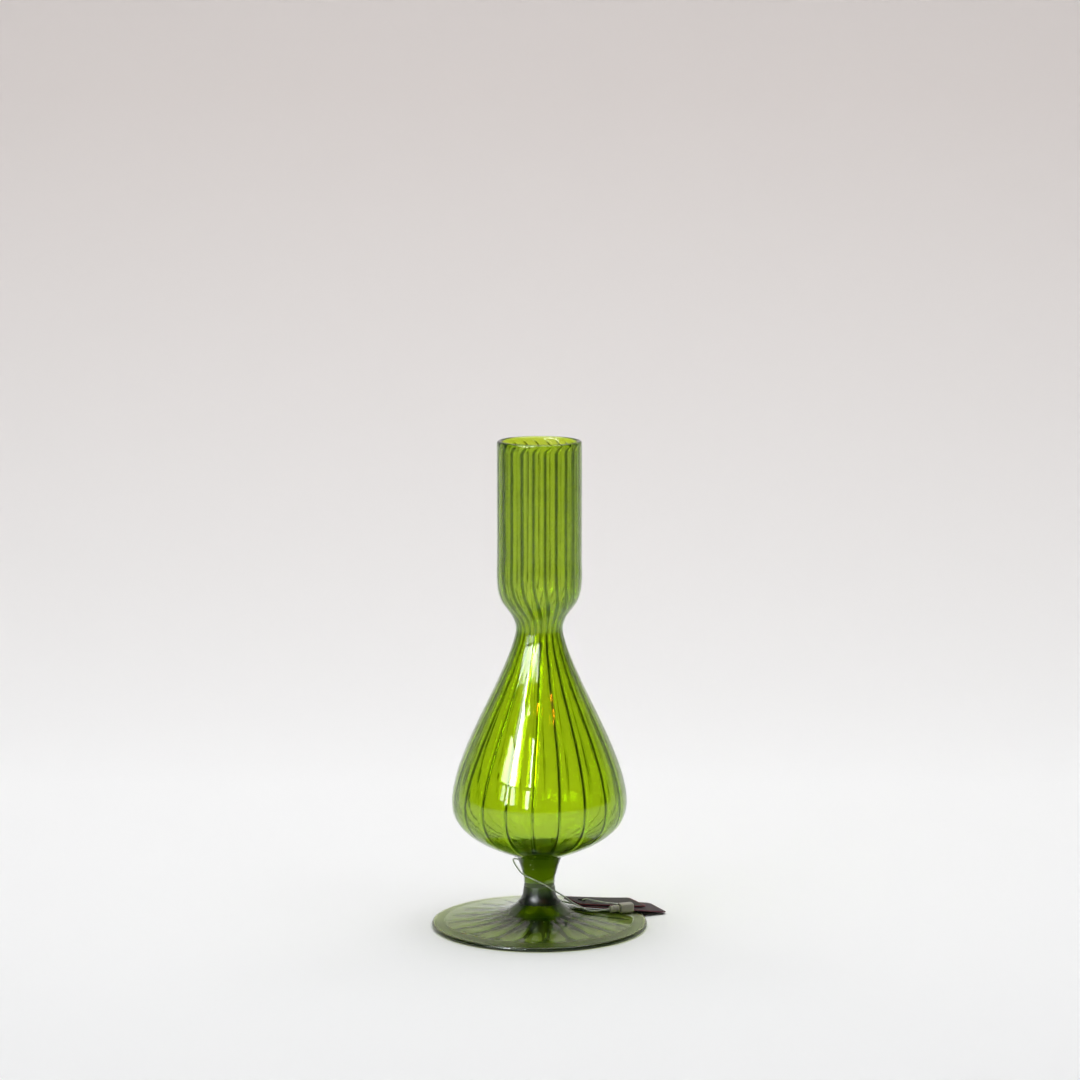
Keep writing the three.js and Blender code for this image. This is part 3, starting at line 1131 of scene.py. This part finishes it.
@dataclass
class Studio:
    """Floor, backdrop, lights and camera."""

    distance: float = 1.1112
    height: float = 0.2846
    pitch: float = math.radians(8.12)
    lens: float = 117.27
    side: float = 0.0002
    window: float = 1.9
    aim: tuple = (0.0, 0.0, 0.07)
    pane_gain: float = 1.5
    pane_colour: tuple = (0.93, 0.98, 1)
    lamps: tuple = ((-4, 42), (26, 39.3), (33, 40))
    lamp_size: tuple = (0.06, 0.06)
    lamp_radiance: float = 90
    lamp_colour: tuple = (1, 0.33, 0.02)

    def camera(self) -> None:
        """A long lens a little above the vase's middle, tipped down."""
        data = bpy.data.cameras.new("camera")
        data.lens, data.sensor_width, data.clip_start, data.clip_end = self.lens, 36, 0.01, 100
        camera = bpy.data.objects.new("camera", data)
        camera.location = (self.side, -self.distance, self.height)
        camera.rotation_euler = (math.pi / 2 - self.pitch, 0, 0)
        bpy.context.scene.collection.objects.link(camera)
        bpy.context.scene.camera = camera

    def cove(self) -> None:
        """A floor that sweeps up into a wall: a profile carried along X."""
        bend, back = 0.4, 0.62
        turn = np.linspace(0, math.pi / 2, 24)
        sweep = np.stack([back - bend + bend * np.sin(turn), bend - bend * np.cos(turn)], axis=1)
        profile = np.vstack([[(-4.0, 0.0)], sweep, [(back, 3.0)]])
        wide, below = np.array([-3.0, 3.0]), 0.0001  # The floor lies a tenth of a millimetre under the vase.
        grid = np.stack(np.broadcast_arrays(wide[None, :], profile[:, :1], profile[:, 1:] - below), axis=-1)
        index = np.arange(len(profile) * 2).reshape(-1, 2)
        faces = np.stack([index[:-1, 0], index[:-1, 1], index[1:, 1], index[1:, 0]], axis=1)
        mesh = bpy.data.meshes.new("cove")
        mesh.from_pydata(grid.reshape(-1, 3).tolist(), [], faces.tolist())
        mesh.polygons.foreach_set("use_smooth", np.ones(len(mesh.polygons), bool))
        piece("cove", mesh, PaleCove().material())

    def light(
        self, name: str, place: tuple, size: tuple, radiance: float, colour: tuple, turn: tuple | None = None
    ) -> None:
        """Hang an area light. Only the ceiling lights the room, and the rest are seen in the glass.

        Args:
            name: The light's name.
            place: Its middle.
            size: Its width and height.
            radiance: Its radiance, which gives its power with its area.
            colour: Its colour.
            turn: Its rotation, or none to face the vase.
        """
        data = bpy.data.lights.new(name, "AREA")
        data.shape, data.size, data.size_y = "RECTANGLE", *size
        data.energy, data.color = radiance * math.pi * size[0] * size[1], colour
        lamp = bpy.data.objects.new(name, data)
        lamp.location = place
        faced = (Vector(self.aim) - Vector(place)).to_track_quat("-Z", "Y").to_euler()
        lamp.rotation_euler = turn or faced
        lamp.visible_camera = False
        lamp.visible_diffuse = name == "ceiling"
        bpy.context.scene.collection.objects.link(lamp)

    def panes(self) -> None:
        """The window's panes, upright strips that face the vase."""
        for pane in Pane:
            left, right, low, high, radiance = pane.value
            middle = math.radians((left + right) / 2)
            away = self.window
            low_z, high_z = (self.aim[2] + away * math.tan(math.radians(angle)) for angle in (low, high))
            width = 2 * away * math.tan(math.radians(right - left) / 2)
            place = (-away * math.sin(middle), -away * math.cos(middle), (low_z + high_z) / 2)
            size, turn = (width, high_z - low_z), (math.pi / 2, 0, -middle)
            name = pane.name.lower() + "_pane"
            self.light(name, place, size, radiance * self.pane_gain, self.pane_colour, turn)

    def build(self) -> None:
        """Set the room up."""
        self.camera()
        self.cove()
        self.light("ceiling", place=(0.0, 0.0, 1.3), size=(1.6, 1.3), radiance=2.98, colour=(0.975, 0.99, 1))
        self.panes()
        for azimuth, elevation in self.lamps:
            side, up = math.radians(azimuth), math.tan(math.radians(elevation))
            x, y, z = self.window * math.sin(side), -self.window * math.cos(side), self.window * up
            place = (x, y, self.aim[2] + z)
            self.light(f"warm_lamp_{azimuth}", place, self.lamp_size, self.lamp_radiance, self.lamp_colour)
        scene = bpy.context.scene
        scene.world = bpy.data.worlds.new("room")
        scene.world.use_nodes = True
        scene.world.node_tree.nodes["Background"].inputs["Color"].default_value = (0.04, 0.04, 0.04, 1)
        scene.view_settings.view_transform = "Standard"
        scene.cycles.max_bounces = 28
        scene.cycles.transmission_bounces = 28
        scene.cycles.transparent_max_bounces = 16
        scene.cycles.glossy_bounces = 12


def main() -> None:
    """Build the room, the thread, the cards and the vase."""
    logging.basicConfig(level=logging.INFO, format="%(name)s %(message)s")
    Studio().build()
    dark = CoatedCard("dark_card", (0.055, 0.036, 0.04), (0.13, 0.03, 0.045))
    red = CoatedCard("red_card", (0.034, 0.03, 0.02), (0.17, 0.02, 0.03))
    cards = (
        ShopCard("swing_card", "swing_card_turn", 32 * MM, 13.2 * MM, turn=0, lift=0.0, finish=dark),
        ShopCard("price_card", "price_card_turn", 26 * MM, 11.2 * MM, turn=7.4, lift=0.35 * MM, finish=red),
    )
    for part in (ThreadLoop(), *cards, PressedFoot(), SolidStem(), BlownBody()):
        part.build()


if __name__ == "__main__":
    main()
